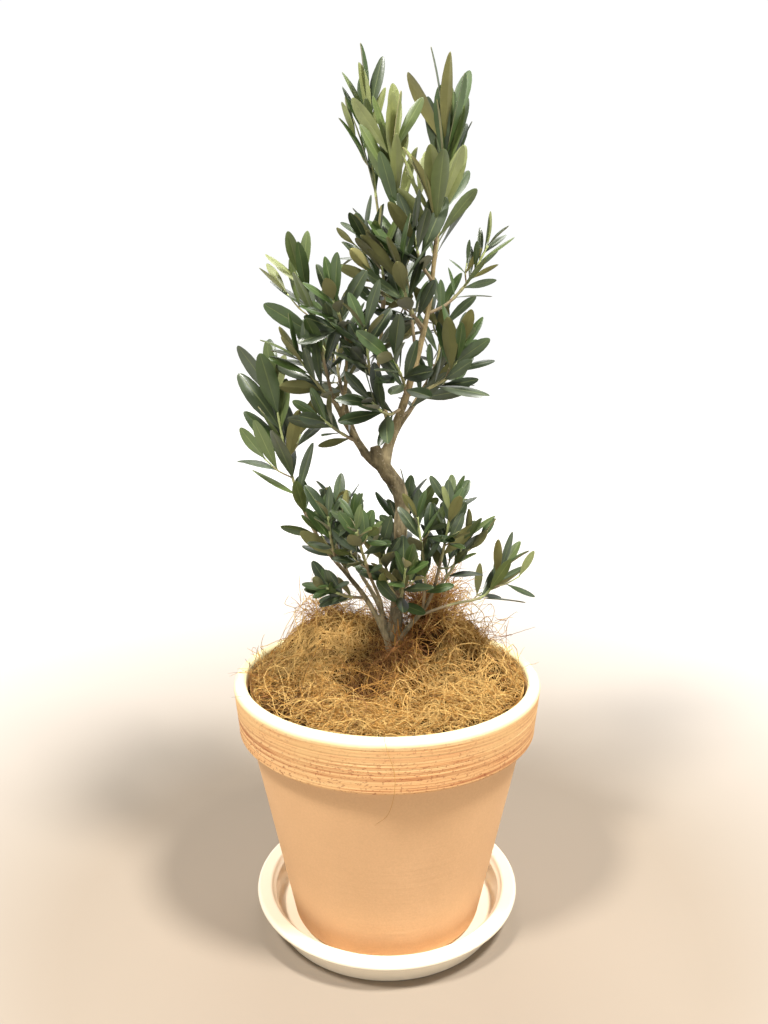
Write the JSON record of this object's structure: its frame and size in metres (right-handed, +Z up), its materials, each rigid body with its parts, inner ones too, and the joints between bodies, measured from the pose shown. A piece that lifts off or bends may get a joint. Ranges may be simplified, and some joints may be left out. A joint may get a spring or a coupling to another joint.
{
  "type": "potted olive tree",
  "caption": "Young olive tree with a crooked trunk and basal shoots, in a round terracotta pot with a collar, mulched with coconut fibre and standing in a saucer.",
  "frame": {"origin": "centre of the saucer's flat underside, on the pot's axis", "axes": "+Z up along the pot's axis; the side shown to the viewer faces -Y, with +X to the viewer's right"},
  "size_m": [0.22, 0.22, 0.6111],
  "materials": {
    "terracotta": "matt pale terracotta, combed collar with red-brown specks",
    "saucer_plastic": "glossy off-white",
    "soil": "dark potting soil",
    "fibre": "loose coconut fibre",
    "bark": "grey-brown bark with fine fissures",
    "leaf": "semi-matt, dark green above and olive below"
  },
  "bodies": {
    "root": {"saucer": "saucer_plastic", "pot": "terracotta", "soil": "soil", "mulch": "fibre", "trunk": "bark", "bough_back_left": "bark", "bough_back_right": "bark", "bough_centre": "bark", "bough_leader": "bark", "bough_left": "bark", "bough_left_upright": "bark", "bough_low_back_left": "bark", "bough_low_back_right": "bark", "bough_low_front": "bark", "bough_low_left": "bark", "bough_low_right": "bark", "foliage_back_left": "leaf", "foliage_back_right": "leaf", "foliage_leader_tip": "leaf", "foliage_left_long": "leaf", "foliage_low_back_left": "leaf", "foliage_low_back_right": "leaf", "foliage_low_centre": "leaf", "foliage_low_front": "leaf", "foliage_low_front_left": "leaf", "foliage_low_left": "leaf", "foliage_low_left_inner": "leaf", "foliage_low_left_upright": "leaf", "foliage_low_right": "leaf", "foliage_low_right_inner": "leaf", "foliage_low_right_outer": "leaf", "foliage_mid_centre": "leaf", "foliage_mid_front": "leaf", "foliage_mid_left": "leaf", "foliage_mid_left_inner": "leaf", "foliage_mid_left_low": "leaf", "foliage_mid_low": "leaf", "foliage_mid_right": "leaf", "foliage_mid_right_low": "leaf", "foliage_right_reach": "leaf", "foliage_top_centre": "leaf", "foliage_top_left": "leaf", "foliage_top_right": "leaf", "foliage_upper_back": "leaf", "foliage_upper_centre": "leaf", "foliage_upper_front": "leaf", "foliage_upper_inner": "leaf", "foliage_upper_left": "leaf", "foliage_upper_right": "leaf"}
  },
  "joints": []
}
